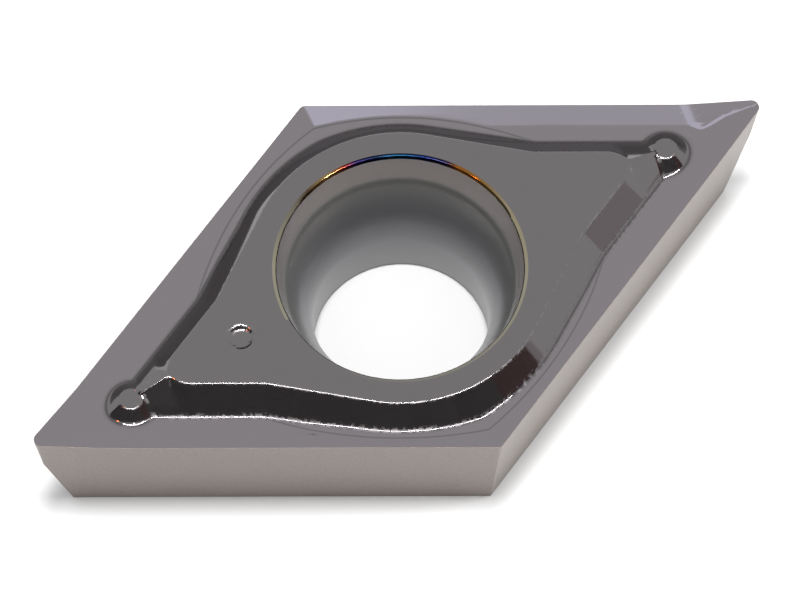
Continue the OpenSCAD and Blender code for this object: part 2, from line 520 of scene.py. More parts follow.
@dataclass(frozen=True)
class Outline:
    """Ground outline of the insert: a rhombus with rounded corners.

    A station is a number from 0 to the count of stations, which runs round the
    insert from the acute nose on +X, anticlockwise seen from above.
    """

    size: InsertSize
    # Stations on half a nose, on an edge and on half an obtuse corner
    nose_stations: int = 3
    edge_stations: int = 59
    obtuse_stations: int = 2
    # Least radius of the corners, which grow sharper downwards
    low_r: float = 0.03

    @property
    def quarter(self) -> int:
        """Stations in a quarter of the outline."""
        return self.nose_stations + self.edge_stations + self.obtuse_stations

    @property
    def count(self) -> int:
        """Stations in the whole outline."""
        return 4 * self.quarter

    def core(self, station: np.ndarray) -> tuple[np.ndarray, np.ndarray]:
        """Point of the inner rhombus and outward normal for each station.

        Args:
            station: Station numbers.

        Returns:
            The points and the normals, in plan.
        """
        s = self.size
        lap = np.mod(station, self.count)
        turn = np.floor(lap / self.quarter).astype(int) % 4
        local = lap - turn * self.quarter
        local = np.where(turn % 2 == 1, self.quarter - local, local)
        a, b = self.nose_stations, self.nose_stations + self.edge_stations
        normal = s.edge_normal
        along = np.clip((local - a) / (b - a), 0, 1)
        obtuse = normal + (math.pi / 2 - normal) * (local - b) / (self.quarter - b)
        angle = np.where(local < a, normal * local / a, np.where(local > b, obtuse, normal))
        core_r = s.inscribed_r - s.nose_r
        far_x, far_y = core_r / math.cos(normal), core_r / math.sin(normal)
        sign_x = np.where((turn == 1) | (turn == 2), -1.0, 1.0)
        sign_y = np.where(turn >= 2, -1.0, 1.0)
        point = np.stack([sign_x * far_x * (1 - along), sign_y * far_y * along], -1)
        out = np.stack([sign_x * np.cos(angle), sign_y * np.sin(angle)], -1)
        return point, out

    def at(self, station: np.ndarray, z: np.ndarray) -> np.ndarray:
        """Places on the flanks.

        Args:
            station: Station numbers.
            z: Heights above the seat face.

        Returns:
            The places in plan.
        """
        s = self.size
        depth = (s.nose_h - z) * tangent(s.relief)
        radius = np.maximum(s.nose_r - depth, self.low_r)
        scale = (s.inscribed_r - depth - radius) / (s.inscribed_r - s.nose_r)
        point, out = self.core(station)
        return point * scale[..., None] + out * radius[..., None]

    def normal(self, station: np.ndarray) -> np.ndarray:
        """Unit normals of the flanks.

        Args:
            station: Station numbers.

        Returns:
            One normal for each station.
        """
        lean = math.radians(self.size.relief)
        _, out = self.core(station)
        down = np.full(out.shape[:-1] + (1,), -math.sin(lean))
        return np.concatenate([out * math.cos(lean), down], -1)


@dataclass
class AdaptiveRing:
    """Balanced quadtree of cells on a ring, finer where the surface bends."""

    around: int
    across: int
    levels: int
    bends: Callable[[np.ndarray, np.ndarray, float, float], np.ndarray]
    splits: list[np.ndarray] = field(default_factory=list)

    @property
    def fine(self) -> int:
        """Finest steps in one of the first cells."""
        return 2**self.levels

    def refine(self) -> None:
        """Splits the cells that bend, and keeps neighbours within one level."""
        alive = np.ones((self.around, self.across), bool)
        for level in range(self.levels):
            parts = 2**level
            i, j = np.nonzero(alive)
            flag = np.zeros_like(alive)
            flag[i, j] = self.bends(i / parts, j / parts, 1 / parts, 1 / parts)
            self.splits.append(flag)
            alive = flag.repeat(2, 0).repeat(2, 1)
        for level in range(self.levels - 1, 0, -1):
            near = self.splits[level].copy()
            for shift in (1, -1):
                near |= np.roll(near, shift, 0)
            wide = near.copy()
            wide[:, 1:] |= near[:, :-1]
            wide[:, :-1] |= near[:, 1:]
            rows, columns = wide.shape
            pairs = wide.reshape(rows // 2, 2, columns // 2, 2)
            self.splits[level - 1] |= pairs.any(axis=(1, 3))

    def leaves(self) -> list[tuple[np.ndarray, np.ndarray, int]]:
        """Unsplit cells of each level.

        Returns:
            For each level, the cells' two indexes and the level.
        """
        found = []
        for level in range(self.levels + 1):
            if level == 0:
                here = np.ones((self.around, self.across), bool)
            else:
                here = self.splits[level - 1].repeat(2, 0).repeat(2, 1)
            if level < self.levels:
                here = here & ~self.splits[level]
            i, j = np.nonzero(here)
            found.append((i, j, level))
        return found

    def finer(self, i: np.ndarray, j: np.ndarray, level: int) -> np.ndarray:
        """Whether the cells with these indexes are split further.

        Args:
            i: Index round the ring, which wraps.
            j: Index across the ring.
            level: Level of the cells.

        Returns:
            One truth value for each cell, false outside the ring.
        """
        if level >= self.levels:
            return np.zeros(i.shape, bool)
        rows, columns = self.splits[level].shape
        inside = (j >= 0) & (j < columns)
        return self.splits[level][i % rows, np.clip(j, 0, columns - 1)] & inside

    def polygons(self) -> tuple[np.ndarray, list[np.ndarray]]:
        """Corner keys of all cells, with the midpoints that finer neighbours need.

        Returns:
            The sorted keys of all corners, and arrays of polygons that index them.
        """
        fine = self.fine
        total, stride = self.around * fine, self.across * fine + 1
        loops: list[np.ndarray] = []
        for i, j, level in self.leaves():
            h = 2 ** (self.levels - level)
            half = h // 2
            low_i, low_j = i * h, j * h
            corners = ((0, 0), (0, h), (h, h), (h, 0))
            middles = ((0, half), (half, h), (h, half), (half, 0))
            beside = ((-1, 0), (0, 1), (1, 0), (0, -1))
            split = [self.finer(i + di, j + dj, level) for di, dj in beside]
            code = sum(flag.astype(int) << k for k, flag in enumerate(split))
            for mask in np.unique(code):
                pick = code == mask
                steps = []
                for k in range(4):
                    steps.append(corners[k])
                    if mask >> k & 1:
                        steps.append(middles[k])
                a, b = low_i[pick], low_j[pick]
                sides = [(a + di) % total * stride + b + dj for di, dj in steps]
                loops.append(np.stack(sides, -1))
        keys = np.unique(np.concatenate([loop.ravel() for loop in loops]))
        return keys, [np.searchsorted(keys, loop) for loop in loops]


@dataclass
class Skin:
    """Points, normals and faces of a mesh while it is put together."""

    points: list[np.ndarray] = field(default_factory=list)
    normals: list[np.ndarray] = field(default_factory=list)
    faces: list[list[int]] = field(default_factory=list)
    zones: list[int] = field(default_factory=list)
    total: int = 0

    def add_points(self, points: np.ndarray, normals: np.ndarray) -> np.ndarray:
        """Adds points.

        Args:
            points: Places in mm.
            normals: Unit normals.

        Returns:
            The indexes of the new points.
        """
        self.points.append(points)
        self.normals.append(normals)
        first = self.total
        self.total += len(points)
        return np.arange(first, self.total)

    def add_faces(self, faces: np.ndarray, zone: Zone) -> None:
        """Adds faces of one finish, given as rows of point indexes."""
        self.faces.extend(faces.tolist())
        self.zones.extend([zone.value] * len(faces))

    def join_rings(self, inner: np.ndarray, outer: np.ndarray, zone: Zone) -> None:
        """Joins two rings of equal count, seen with the surface's outside up.

        Args:
            inner: Point indexes of the ring on the inside.
            outer: Point indexes of the ring on the outside.
            zone: Finish of the new faces.
        """
        quads = np.stack([inner, outer, np.roll(outer, -1), np.roll(inner, -1)], -1)
        self.add_faces(quads, zone)

    def zip_rings(
        self, outer: np.ndarray, outer_turn: np.ndarray,
        inner: np.ndarray, inner_turn: np.ndarray, zone: Zone,
    ) -> None:
        """Joins two rings of different counts with triangles that face down.

        Args:
            outer: Point indexes of the outer ring.
            outer_turn: Their angles round the axis, rising.
            inner: Point indexes of the inner ring.
            inner_turn: Their angles round the axis, rising.
            zone: Finish of the new faces.
        """
        lap = 2 * math.pi
        a, b = np.append(outer, outer[0]), np.append(inner, inner[0])
        turn_a, turn_b = np.append(outer_turn, lap), np.append(inner_turn, lap)
        i = j = 0
        triangles = []
        while i < len(a) - 1 or j < len(b) - 1:
            take_a = j == len(b) - 1 or (i < len(a) - 1 and turn_a[i + 1] <= turn_b[j + 1])
            if take_a:
                triangles.append((a[i], b[j], a[i + 1]))
                i += 1
            else:
                triangles.append((a[i], b[j], b[j + 1]))
                j += 1
        self.add_faces(np.array(triangles), zone)


def linear(colour: str) -> tuple[float, float, float, float]:
    """Turns an sRGB hex colour into linear values with full alpha.

    Args:
        colour: Six hex digits, with or without a leading hash.

    Returns:
        Red, green, blue and alpha.
    """
    digits = colour.lstrip("#")
    values = [int(digits[k:k + 2], 16) / 255 for k in (0, 2, 4)]
    # The sRGB curve is straight near black and a power above it
    bright = [v / 12.92 if v <= 0.04045 else ((v + 0.055) / 1.055) ** 2.4 for v in values]
    return bright[0], bright[1], bright[2], 1.0


def set_stops(ramp: bpy.types.ColorRamp, stops: tuple[tuple[float, str], ...]) -> None:
    """Sets the colours of a ramp.

    Args:
        ramp: Ramp with its two first stops.
        stops: Place from 0 to 1 and hex colour of each stop, rising.
    """
    ramp.elements.remove(ramp.elements[1])
    place, colour = stops[0]
    ramp.elements[0].position, ramp.elements[0].color = place, linear(colour)
    for place, colour in stops[1:]:
        ramp.elements.new(place).color = linear(colour)


def add_node(
    tree: Tree, kind: str,
    settings: dict[str, Any] | None = None, links: dict[str | int, Any] | None = None,
) -> bpy.types.Node:
    """Adds a node to a tree.

    Args:
        tree: Tree that takes the node.
        kind: Blender's name of the node's type.
        settings: Values of its properties, or of its inputs by name or number, and
            under "stops" the stops of a colour ramp.
        links: Output sockets that feed its inputs, by name or number.

    Returns:
        The node.
    """
    node = tree.nodes.new(kind)
    for name, value in (settings or {}).items():
        if name == "stops":
            set_stops(node.color_ramp, value)
        elif isinstance(name, str) and hasattr(node, name):
            setattr(node, name, value)
        else:
            node.inputs[name].default_value = value
    for name, source in (links or {}).items():
        tree.links.new(source, node.inputs[name])
    return node


@dataclass(frozen=True)
class CoatedCarbide:
    """Cemented carbide under a thin hard coating.

    The coating is a dark grey ceramic film of a few micrometres with a metal's
    reflection: it gives the eye a dim violet-grey mirror that fine grit blurs. The
    grit's real width is near 0.02 mm. It is drawn 0.05 mm wide so that it shows.
    """

    name: str = "coated_carbide"
    tint: str = "#6E6B6C"
    roughness: float = 0.07
    metallic: float = 1.0
    grain_mm: float = 0.05
    grain_depth: float = 0.0001
    grain_detail: float = 3.0
    detail_share: float = 0.6

    def lumps(self, tree: Tree, size_mm: float, detail: float = 0.0) -> Socket:
        """Noise whose lumps have a size in mm.

        Args:
            tree: Tree that takes the nodes.
            size_mm: Size of a lump.
            detail: How many finer layers lie on the lumps.

        Returns:
            The noise, about 0.5 on average.
        """
        place = add_node(tree, "ShaderNodeTexCoord")
        noise = add_node(
            tree, "ShaderNodeTexNoise",
            {"Scale": 1 / (size_mm * METRES), "Detail": detail, "Roughness": self.detail_share},
            {"Vector": place.outputs["Object"]},
        )
        return noise.outputs["Fac"]

    def colour(self, tree: Tree) -> Socket:
        """Colour of the film, which each finish gives in its own way.

        Args:
            tree: Tree that takes the nodes.

        Returns:
            The colour.
        """
        raise NotImplementedError

    def relief(self, tree: Tree) -> Socket:
        """Fine relief that grinding or sintering leaves.

        Args:
            tree: Tree that takes the nodes.

        Returns:
            The normal.
        """
        bump = add_node(
            tree, "ShaderNodeBump", {"Strength": 1.0, "Distance": self.grain_depth * METRES},
            {"Height": self.lumps(tree, self.grain_mm, self.grain_detail)},
        )
        return bump.outputs["Normal"]

    def dullness(self, tree: Tree) -> Socket | None:
        """Roughness where it changes over the surface, and otherwise nothing."""
        return None

    def build(self) -> bpy.types.Material:
        """Builds the material.

        Returns:
            The node material.
        """
        material = bpy.data.materials.new(self.name)
        material.use_nodes = True
        tree = material.node_tree
        tree.nodes.clear()
        shader = add_node(
            tree, "ShaderNodeBsdfPrincipled",
            {"Metallic": self.metallic, "Roughness": self.roughness},
            {"Base Color": self.colour(tree), "Normal": self.relief(tree)},
        )
        dullness = self.dullness(tree)
        if dullness is not None:
            tree.links.new(dullness, shader.inputs["Roughness"])
        add_node(tree, "ShaderNodeOutputMaterial", {}, {"Surface": shader.outputs["BSDF"]})
        return material


@dataclass(frozen=True)
class GroundTop(CoatedCarbide):
    """Top ground and blasted before coating: a smooth dim mirror.

    The groove's ground faces are lighter than the plateau. Painted shade draws fine dark
    lines at the foot of the wall and along the curved line where the rake was ground
    down to the floor. The rims and feet have duller lumps of about 0.1 mm, so that a
    lamp's reflection in them breaks into dots.
    """

    name: str = "coated_carbide_ground_top"
    ground_tint: str = "#7D797D"
    # Painted shade along the curved line: its half width, and the share of it that is darkest
    bow_shade_tint: str = "#686568"
    bow_shade_mm: float = 0.03
    bow_shade_core: float = 0.3
    # Painted shade at the wall's foot, in shares of the small fillet there
    foot_shade_tint: str = "#565355"
    foot_shade_from: float = 0.1
    foot_shade_to: float = 0.4
    # Lumps: their size, added roughness, limits in the noise and bends that have them
    lump_mm: float = 0.11
    lump_dullness: float = 0.24
    lump_from: float = 0.48
    lump_to: float = 0.54
    round_from: float = 3.0
    round_full: float = 6.0

    def share(self, tree: Tree, mark: str, low: float, high: float) -> Socket:
        """How far the size of a stored value has come from one limit to another.

        Args:
            tree: Tree that takes the nodes.
            mark: Name of the value in the mesh.
            low: Size at which the share is 0.
            high: Size at which the share is 1.

        Returns:
            The share.
        """
        value = add_node(tree, "ShaderNodeAttribute", {"attribute_name": mark})
        size = add_node(tree, "ShaderNodeMath", {"operation": "ABSOLUTE"}, {0: value.outputs["Fac"]})
        reached = add_node(
            tree, "ShaderNodeMapRange", {"From Min": low, "From Max": high},
            {"Value": size.outputs[0]},
        )
        return reached.outputs["Result"]

    def colour(self, tree: Tree) -> Socket:
        """Colour of the plateau and the ground faces, with painted shade along the curved line and
        at the wall's foot.

        Args:
            tree: Tree that takes the nodes.

        Returns:
            The colour.
        """
        # Painted shade: a thin dark line along the curved line where the rake ends
        ground = add_node(
            tree, "ShaderNodeMix",
            {
                "data_type": "RGBA",
                MIX_FIRST: linear(self.bow_shade_tint),
                MIX_SECOND: linear(self.ground_tint),
            },
            {MIX_SHARE: self.share(tree, "bow", self.bow_shade_core * self.bow_shade_mm, self.bow_shade_mm)},
        )
        lead = add_node(tree, "ShaderNodeAttribute", {"attribute_name": "ground"})
        side = add_node(tree, "ShaderNodeMapRange", {}, {"Value": lead.outputs["Fac"]})
        face = add_node(
            tree, "ShaderNodeMix", {"data_type": "RGBA", MIX_FIRST: linear(self.tint)},
            {MIX_SHARE: side.outputs["Result"], MIX_SECOND: ground.outputs[MIX_COLOUR]},
        )
        # Painted shade darkens the hollow at the wall's foot
        whole = add_node(
            tree, "ShaderNodeMix", {"data_type": "RGBA", MIX_FIRST: linear(self.foot_shade_tint)},
            {
                MIX_SHARE: self.share(tree, "ground", self.foot_shade_from, self.foot_shade_to),
                MIX_SECOND: face.outputs[MIX_COLOUR],
            },
        )
        return whole.outputs[MIX_COLOUR]

    def dullness(self, tree: Tree) -> Socket:
        """Roughness, with duller lumps along the rounded rims and feet.

        Args:
            tree: Tree that takes the nodes.

        Returns:
            The roughness.
        """
        patches = add_node(
            tree, "ShaderNodeMapRange",
            {"From Min": self.lump_from, "From Max": self.lump_to, "To Max": self.lump_dullness},
            {"Value": self.lumps(tree, self.lump_mm)},
        )
        rough = add_node(
            tree, "ShaderNodeMath", {"operation": "MULTIPLY_ADD", 2: self.roughness},
            {
                0: self.share(tree, "bend", self.round_from, self.round_full),
                1: patches.outputs["Result"],
            },
        )
        return rough.outputs[0]


@dataclass(frozen=True)
class GroundFlank(CoatedCarbide):
    """Flank ground with a coarser wheel: satin and a little warmer than the top.

    The grit's real width is near 0.02 mm. It is drawn 0.06 mm wide so that it shows.
    """

    name: str = "coated_carbide_ground_flank"
    tint: str = "#69605B"
    light_tint: str = "#746A65"
    roughness: float = 0.35
    metallic: float = 0.5
    grain_mm: float = 0.06
    grain_depth: float = 0.0008
    # Detail of the mottle, and its limits in the noise
    mottle_detail: float = 2.0
    mottle_from: float = 0.35
    mottle_to: float = 0.65

    def colour(self, tree: Tree) -> Socket:
        """Colour of the flank, mottled by the grit.

        Args:
            tree: Tree that takes the nodes.

        Returns:
            The colour.
        """
        mottle = add_node(
            tree, "ShaderNodeMapRange",
            {"From Min": self.mottle_from, "From Max": self.mottle_to},
            {"Value": self.lumps(tree, self.grain_mm, self.mottle_detail)},
        )
        face = add_node(
            tree, "ShaderNodeMix",
            {
                "data_type": "RGBA",
                MIX_FIRST: linear(self.tint),
                MIX_SECOND: linear(self.light_tint),
            },
            {MIX_SHARE: mottle.outputs["Result"]},
        )
        return face.outputs[MIX_COLOUR]


@dataclass(frozen=True)
class SinteredBore(CoatedCarbide):
    """Screw seat as pressed and sintered: duller, with painted light and shade that change with
    depth.

    Its grey is painted light and shade by height: warm at the mouth, darkest and a little
    bluish in the seat, and lighter down the throat towards the table.
    """

    name: str = "coated_carbide_sintered_bore"
    roughness: float = 0.32
    metallic: float = 0.8
    grain_depth: float = 0.0005
    # Heights above the seat face with their painted light and shade, up to the lip
    light_and_shade_by_height: tuple[tuple[float, str], ...] = (
        (0.0, "#7E7E7F"), (0.6, "#7A7A7B"), (1.3, "#707072"), (1.6, "#6A6A6C"), (2.0, "#636365"),
        (2.25, "#606063"), (2.45, "#6A6A6D"), (2.7, "#757577"), (3.3, "#787876"),
        (3.45, "#7A7472"), (4.12, "#7A7472"),
    )

    def colour(self, tree: Tree) -> Socket:
        """Colour of the hole, painted light and shade by height.

        Args:
            tree: Tree that takes the nodes.

        Returns:
            The colour.
        """
        mouth_h = self.light_and_shade_by_height[-1][0]
        place = add_node(tree, "ShaderNodeTexCoord")
        axes = add_node(tree, "ShaderNodeSeparateXYZ", {}, {"Vector": place.outputs["Object"]})
        height = add_node(
            tree, "ShaderNodeMapRange", {"From Min": 0.0, "From Max": mouth_h * METRES},
            {"Value": axes.outputs["Z"]},
        )
        stops = tuple((z / mouth_h, tone) for z, tone in self.light_and_shade_by_height)
        # The ramp paints the hole's light and shade by height
        ramp = add_node(
            tree, "ShaderNodeValToRGB", {"stops": stops}, {"Fac": height.outputs["Result"]},
        )
        return ramp.outputs["Color"]


@dataclass(frozen=True)
class PolishedLip(CoatedCarbide):
    """Rounded lip brushed by the coating's after-polish.

    The film is thinned there to colours of thin layers: blue and violet on the side
    of the obtuse corner on +Y, straw and gold beside it and pale straw elsewhere. The
    pale tints are lighter than the film, a painted highlight that draws a thin light
    ring along the lip.
    """

    name: str = "coated_carbide_polished_lip"
    # Angles round the hole from +X, in degrees, with their colours; the pale ones are painted
    # highlight
    film_tints_and_painted_highlight: tuple[tuple[float, str], ...] = (
        (-150.0, "#6E6B6C"), (-35.0, "#8C8878"), (5.0, "#8A8068"), (20.0, "#7C6034"),
        (35.0, "#80501E"), (40.0, "#1F1B2D"), (52.0, "#0A1333"), (63.0, "#0C2534"),
        (75.0, "#0B1125"), (84.0, "#1B1333"), (90.0, "#6A2A1C"), (98.0, "#8A7248"),
        (110.0, "#4C4232"), (120.0, "#6A665A"), (150.0, "#8C8878"),
    )

    def colour(self, tree: Tree) -> Socket:
        """Colour of the lip, by angle round the hole, with a painted highlight in its pale tints.

        Args:
            tree: Tree that takes the nodes.

        Returns:
            The colour.
        """
        place = add_node(tree, "ShaderNodeTexCoord")
        angle = add_node(
            tree, "ShaderNodeTexGradient", {"gradient_type": "RADIAL"},
            {"Vector": place.outputs["Object"]},
        )
        stops = tuple((turn / 360 + 0.5, tint) for turn, tint in self.film_tints_and_painted_highlight)
        # Colours of thin layers, with the pale tints painting a highlight along the lip
        ramp = add_node(tree, "ShaderNodeValToRGB", {"stops": stops}, {"Fac": angle.outputs["Fac"]})
        return ramp.outputs["Color"]


@dataclass
class InsertBody:
    """The carbide body: one closed skin with rounded cutting edges."""

    size: InsertSize = field(default_factory=InsertSize)
    # Grid of the top: rows, times that a cell may be halved, samples along its side
    across: int = 18
    levels: int = 4
    samples: int = 4
    # Smallest length and width of a cell that is halved, and turns in it that halve it
    finest: float = 0.03
    slimmest: float = 0.015
    bend_limit: float = 7.0
    corner_limit: float = 9.0
    # Passes that find the height of the cutting edge
    edge_passes: int = 6
    # Roundings of the cutting edge, the seat's rim and the throat's lower rim
    hone_r: float = 0.01
    hone_rows: int = 4
    foot_r: float = 0.03
    foot_rows: int = 3
    throat_round: float = 0.05
    # Share of the throat's rounding at which its middle row lies
    throat_bulge: float = 0.3
    # Rows in the hole: on its lip, at shares of its wall's height and on its seat
    lip_rows: int = 8
    wall_shares: tuple[float, ...] = (0.97, 0.09)
    seat_rows: int = 16
    seat_blend: float = 0.06
    # Sharpest bend that the finishes see, and depth below which a point isn't on top
    bend_shown: float = 6.0
    top_gap: float = 0.004
    top: TopSurface = field(init=False)
    outline: Outline = field(init=False)

    def __post_init__(self) -> None:
        """Sets up the top's height field and the ground outline."""
        self.top = TopSurface(self.size)
        self.outline = Outline(self.size)

    def edge(self, station: np.ndarray) -> tuple[np.ndarray, np.ndarray, np.ndarray]:
        """Centre of the edge's rounding, and the normals on both its sides.

        Args:
            station: Station numbers.

        Returns:
            Centres, normals of the top and normals of the flank.
        """
        z = np.full(station.shape, self.size.edge_h)
        for _ in range(self.edge_passes):
            plan = self.outline.at(station, z)
            z = self.top.height(plan[..., 0], plan[..., 1])
        plan = self.outline.at(station, z)
        sharp = np.concatenate([plan, z[..., None]], -1)
        up = self.top.normal(plan[..., 0], plan[..., 1])
        out = self.outline.normal(station)
        both = 1 + (up * out).sum(-1, keepdims=True)
        return sharp - self.hone_r / both * (up + out), up, out

    def top_plan(self, station: np.ndarray, share: np.ndarray) -> np.ndarray:
        """Plan of the top's grid: from the hole's lip to the rounded edge.

        Args:
            station: Station numbers.
            share: 0 at the lip and 1 at the edge.

        Returns:
            The places in plan.
        """
        centre, up, _ = self.edge(station)
        rim = (centre + self.hone_r * up)[..., :2]
        lip = self.size.lip_r * unit(rim)
        return lip + (rim - lip) * share[..., None]

    def cells_bend(self, i: np.ndarray, j: np.ndarray, di: float, dj: float) -> np.ndarray:
        """Whether cells of the top's grid bend too much for their size.

        Args:
            i: Stations at which the cells start.
            j: Rows at which the cells start.
            di: Stations that a cell spans.
            dj: Rows that a cell spans.

        Returns:
            One truth value for each cell.
        """
        steps = np.linspace(0, 1, self.samples)
        station, row = np.broadcast_arrays(
            i[:, None, None] + di * steps[:, None], j[:, None, None] + dj * steps
        )
        plan = self.top_plan(station, row / self.across)
        normals = self.top.normal(plan[..., 0], plan[..., 1]).reshape(len(i), -1, 3)
        mean = unit(normals.mean(1))
        spread = (normals * mean[:, None, :]).sum(-1).min(1)
        width = np.linalg.norm(plan[:, 0, -1] - plan[:, 0, 0], axis=-1)
        length = np.linalg.norm(plan[:, -1, 0] - plan[:, 0, 0], axis=-1)
        wide = np.minimum(width, length) > self.slimmest
        large = np.maximum(width, length) > self.finest
        bent = spread < math.cos(math.radians(self.bend_limit / 2))
        outline = self.outline.normal(station[:, :, -1])
        turn = (outline[:, 0] * outline[:, -1]).sum(-1)
        cornered = turn < math.cos(math.radians(self.corner_limit))
        last = j + dj > self.across - dj / 2
        return (bent & large & wide) | (last & cornered)

    def add_top(self, skin: Skin) -> tuple[np.ndarray, np.ndarray, np.ndarray, np.ndarray]:
        """Adds the top.

        Args:
            skin: Mesh that takes the faces.

        Returns:
            Point indexes and stations of the ring at the lip, and of the ring at the edge.
        """
        ring = AdaptiveRing(self.outline.count, self.across, self.levels, self.cells_bend)
        ring.refine()
        keys, loops = ring.polygons()
        stride = ring.across * ring.fine + 1
        station = (keys // stride) / ring.fine
        share = (keys % stride) / (ring.across * ring.fine)
        plan = self.top_plan(station, share)
        x, y = plan[:, 0], plan[:, 1]
        z = self.top.height(x, y)
        normals = self.top.normal(x, y)
        centre, up, _ = self.edge(station)
        rim = centre + self.hone_r * up
        last = share == 1
        z[last], normals[last] = rim[last, 2], up[last]
        ids = skin.add_points(np.stack([x, y, z], -1), normals)
        for loop in loops:
            skin.add_faces(ids[loop], Zone.TOP)
        first = share == 0
        return ids[first], station[first], ids[last], station[last]

    def add_flanks(self, skin: Skin, ring: np.ndarray, station: np.ndarray) -> np.ndarray:
        """Adds the rounded edge, the flanks and the small rounding at the seat.

        Args:
            skin: Mesh that takes the faces.
            ring: Point indexes at the edge.
            station: Their stations.

        Returns:
            Point indexes of the ring on the seat face.
        """
        centre, up, out = self.edge(station)
        rows = arc_rows(centre, self.hone_r, up, out, self.hone_rows)
        start = rows[-1][0][:, 2]
        relief = self.size.relief
        sharp_h = self.size.nose_h - (self.size.nose_r - self.outline.low_r) / tangent(relief)
        foot_h = self.foot_r * (1 - math.sin(math.radians(relief)))
        for z in ((start + sharp_h) / 2, np.full_like(start, sharp_h), np.full_like(start, foot_h)):
            rows.append((self.on_flank(station, z), out))
        heart = rows[-1][0] - self.foot_r * out
        heart[:, 2] = self.foot_r
        down = np.broadcast_to([0.0, 0.0, -1.0], out.shape)
        rows += arc_rows(heart, self.foot_r, out, down, self.foot_rows)
        for place, normal in rows:
            ids = skin.add_points(place, normal)
            skin.join_rings(ring, ids, Zone.FLANK)
            ring = ids
        return ring

    def on_flank(self, station: np.ndarray, z: np.ndarray) -> np.ndarray:
        """Places on the flanks at the given heights, with their z."""
        return np.concatenate([self.outline.at(station, z), z[..., None]], -1)

    def bore_profile(self) -> list[tuple[float, float, float, float]]:
        """Profile of the hole from the lip down to the seat face.

        Returns:
            Radius and height of each row, and its normal's radial and upward parts,
            which aren't brought to length 1.
        """
        s = self.size
        rows = []
        lip_z = s.plateau_h - s.lip_h
        for k in range(1, self.lip_rows + 1):
            a = math.radians(90 * (1 - k / self.lip_rows))
            r = s.mouth_r + s.lip_w * (1 - math.cos(a))
            z = lip_z + s.lip_h * math.sin(a)
            rows.append((r, z, -math.cos(a) / s.lip_w, math.sin(a) / s.lip_h))
        seat_top = s.throat_h + s.seat_h
        slope = s.wall_flare / (lip_z - seat_top)
        for share in self.wall_shares:
            up = (lip_z - seat_top) * share
            rows.append((s.seat_end_r + up * slope, seat_top + up, -1.0, slope))
        for k in range(1, self.seat_rows + 1):
            up = (s.seat_h - self.seat_blend) * (1 - k / self.seat_rows)
            inward = math.sqrt(s.seat_arc_r**2 - up * up)
            rows.append((s.throat_r + s.seat_arc_r - inward, s.throat_h + up, -inward, up))
        bulge = self.throat_round * self.throat_bulge
        rows.append((s.throat_r, self.throat_round, -1.0, 0.0))
        rows.append((s.throat_r + bulge, bulge, -1.0, -1.0))
        rows.append((s.throat_r + self.throat_round, 0.0, 0.0, -1.0))
        return rows

    def add_bore(self, skin: Skin, ring: np.ndarray, turn: np.ndarray) -> np.ndarray:
        """Adds the hole's lip, seat and throat.

        Args:
            skin: Mesh that takes the faces.
            ring: Point indexes at the lip.
            turn: Their angles round the axis.

        Returns:
            Point indexes of the hole's ring in the seat face.
        """
        around = np.stack([np.cos(turn), np.sin(turn)], -1)
        for row, (r, z, across, up) in enumerate(self.bore_profile()):
            level = np.ones((len(turn), 1))
            points = np.concatenate([around * r, level * z], -1)
            normals = np.concatenate([around * across, level * up], -1)
            ids = skin.add_points(points, unit(normals))
            skin.join_rings(ids, ring, Zone.LIP if row < self.lip_rows else Zone.BORE)
            ring = ids
        return ring

    def turns(self, station: np.ndarray, share: float) -> np.ndarray:
        """Angles round the axis of a ring of the top's grid, from 0 to a full turn."""
        plan = self.top_plan(station, np.full(station.shape, share))
        return np.mod(np.arctan2(plan[:, 1], plan[:, 0]), 2 * math.pi)

    def build(self) -> bpy.types.Object:
        """Builds the insert with its finishes.

        Returns:
            The object, at the origin of the frame.
        """
        skin = Skin()
        lip, lip_station, edge, edge_station = self.add_top(skin)
        foot = self.add_flanks(skin, edge, edge_station)
        lip_turn = self.turns(lip_station, 0.0)
        bore = self.add_bore(skin, lip, lip_turn)
        skin.zip_rings(foot, self.turns(edge_station, 1.0), bore, lip_turn, Zone.FLANK)
        points = np.concatenate(skin.points)
        mesh = bpy.data.meshes.new("insert_body")
        mesh.from_pydata((points * METRES).tolist(), [], skin.faces)
        mesh.polygons.foreach_set("material_index", np.array(skin.zones, np.int32))
        mesh.polygons.foreach_set("use_smooth", np.ones(len(skin.faces), bool))
        mesh.update()
        mesh.normals_split_custom_set_from_vertices(np.concatenate(skin.normals).tolist())
        self.add_marks(mesh, points)
        self.dress(mesh)
        body = bpy.data.objects.new("insert_body", mesh)
        bpy.context.scene.collection.objects.link(body)
        return body

    def add_marks(self, mesh: bpy.types.Mesh, points: np.ndarray) -> None:
        """Stores what the finishes need at each point of the mesh.

        These are the bend of the top, how far the ground faces lie above the wall
        or below it, and the distance from the curved line where the rake ends.

        Args:
            mesh: Mesh that takes the values.
            points: Its points in mm.
        """
        x, y, z = points.T
        top = self.top
        bend = np.clip(top.bend(x, y), -self.bend_shown, self.bend_shown)
        bend[z < top.height(x, y) - self.top_gap] = 0
        lead = top.rakes(x, y) - np.maximum(top.plateau(x, y), top.bead(x, y))
        n, t = top.edge_frame(x, y)
        marks = {
            "bend": bend,
            "ground": np.clip(lead / top.foot_reach, -1, 1),
            "bow": n - top.bow(t),
        }
        for name, values in marks.items():
            layer = mesh.attributes.new(name, "FLOAT", "POINT")
            layer.data.foreach_set("value", values.astype(np.float32))

    def dress(self, mesh: bpy.types.Mesh) -> None:
        """Gives the insert the finish of each zone, in the order of the zones.

        Args:
            mesh: Mesh that takes the materials.
        """
        finishes = {
            Zone.TOP: GroundTop(),
            Zone.FLANK: GroundFlank(),
            Zone.BORE: SinteredBore(),
            Zone.LIP: PolishedLip(),
        }
        for zone in Zone:
            mesh.materials.append(finishes[zone].build())


